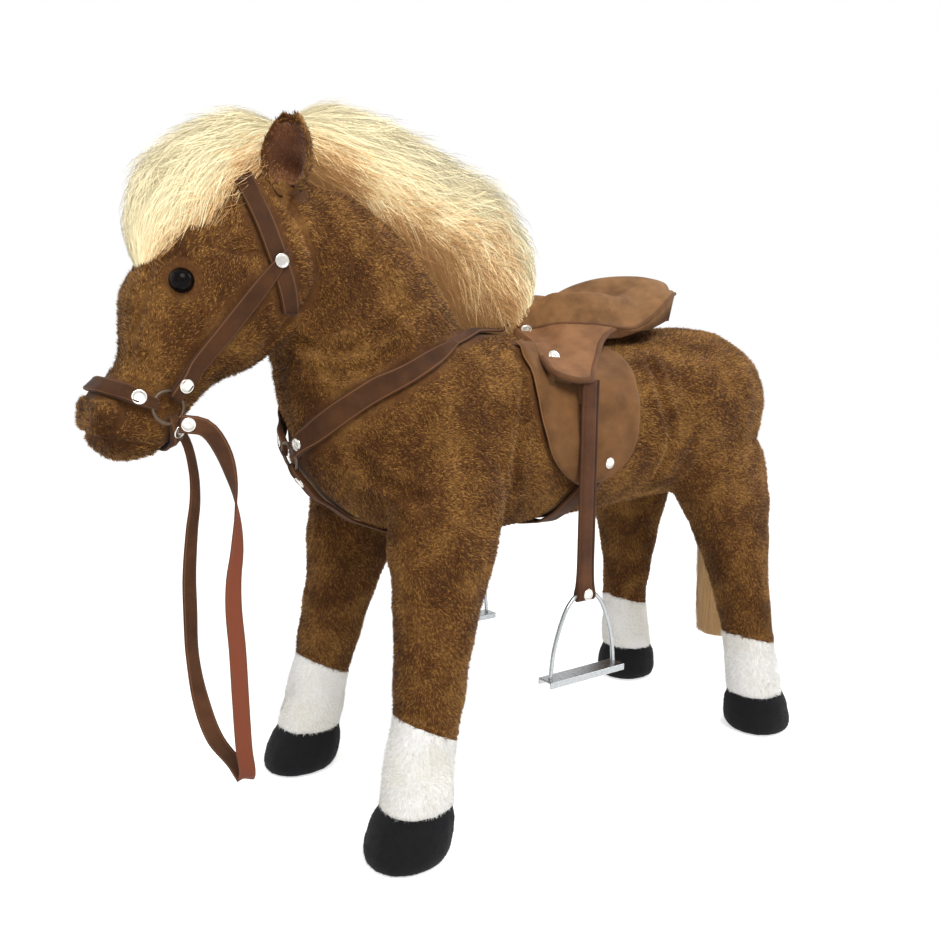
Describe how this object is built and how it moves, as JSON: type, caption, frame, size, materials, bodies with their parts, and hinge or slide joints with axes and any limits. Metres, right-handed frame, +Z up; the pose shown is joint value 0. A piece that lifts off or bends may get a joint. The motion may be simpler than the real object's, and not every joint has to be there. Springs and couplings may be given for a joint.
{
  "type": "plush horse",
  "caption": "Standing stuffed plush horse with a ride-on saddle, swinging stirrups, bridle, breast strap and reins.",
  "frame": {"origin": "middle of the footprint's box, on the floor plane under the four soles", "axes": "+X to the toy's left side, +Y from its head to its tail, +Z up"},
  "size_m": [0.2902, 0.8022, 0.6512],
  "materials": {
    "brown_plush": "short curly plush",
    "lining_plush": "short dark plush",
    "white_plush": "short off-white plush",
    "black_plush": "smooth black plush",
    "blond_hair": "long combed plush",
    "tail_hair": "long combed plush",
    "eye_plastic": "polished",
    "strap_suede": "imitation suede",
    "saddle_suede": "imitation suede",
    "flap_suede": "imitation suede",
    "nickel": "bright nickel plate",
    "zinc": "dull zinc plate",
    "black_steel": "black paint",
    "plywood": "bare plywood"
  },
  "bodies": {
    "pony": {"bit_ring_left": "nickel", "bit_ring_right": "nickel", "breast_strap_left": "strap_suede", "breast_strap_lower": "strap_suede", "breast_strap_right": "strap_suede", "cheek_strap_left": "strap_suede", "cheek_strap_right": "strap_suede", "chest_ring": "nickel", "chin_strap": "strap_suede", "crown_strap": "strap_suede", "ear_left": "brown_plush", "ear_lining_left": "lining_plush", "ear_lining_right": "lining_plush", "ear_right": "brown_plush", "eye_left": "eye_plastic", "eye_right": "eye_plastic", "forelock": "blond_hair", "front_hoof_left": "black_plush", "front_hoof_right": "black_plush", "front_leg_left": "brown_plush", "front_leg_right": "brown_plush", "front_sock_left": "white_plush", "front_sock_right": "white_plush", "girth": "strap_suede", "head": "brown_plush", "neck": "brown_plush", "neck_mane": "blond_hair", "noseband": "strap_suede", "rear_hoof_left": "black_plush", "rear_hoof_right": "black_plush", "rear_leg_left": "brown_plush", "rear_leg_right": "brown_plush", "rear_sock_left": "white_plush", "rear_sock_right": "white_plush", "reins": "strap_suede", "saddle_flap_left": "flap_suede", "saddle_flap_right": "flap_suede", "saddle_seat": "saddle_suede", "saddle_skirt": "saddle_suede", "saddle_tie_left": "strap_suede", "saddle_tie_right": "strap_suede", "seat_board": "plywood", "steel_frame": "black_steel", "stirrup_hanger_left": "nickel", "stirrup_hanger_right": "nickel", "torso": "brown_plush"},
    "tail": {"tail": "tail_hair"},
    "leather_left": {"leather_left": "flap_suede"},
    "stirrup_left": {"stirrup_bow_left": "zinc", "stirrup_tread_left": "zinc"},
    "leather_right": {"leather_right": "flap_suede"},
    "stirrup_right": {"stirrup_bow_right": "zinc", "stirrup_tread_right": "zinc"}
  },
  "joints": [
    {"name": "tail_hinge", "type": "hinge", "parent": "pony", "child": "tail", "pos_m": [0, 0.37869, 0.41], "axis": [1, 0, 0], "range_deg": [0, 40]},
    {"name": "leather_hinge_left", "type": "hinge", "parent": "pony", "child": "leather_left", "pos_m": [0.1068, 0.034, 0.4], "axis": [1, 0, 0], "range_deg": [-14, 28]},
    {"name": "stirrup_hinge_left", "type": "hinge", "parent": "leather_left", "child": "stirrup_left", "pos_m": [0.1068, 0.034, 0.204], "axis": [0, 1, 0], "range_deg": [-60, 35]},
    {"name": "leather_hinge_right", "type": "hinge", "parent": "pony", "child": "leather_right", "pos_m": [-0.1068, 0.034, 0.4], "axis": [1, 0, 0], "range_deg": [-14, 28]},
    {"name": "stirrup_hinge_right", "type": "hinge", "parent": "leather_right", "child": "stirrup_right", "pos_m": [-0.1068, 0.034, 0.204], "axis": [0, 1, 0], "range_deg": [-35, 60]}
  ]
}
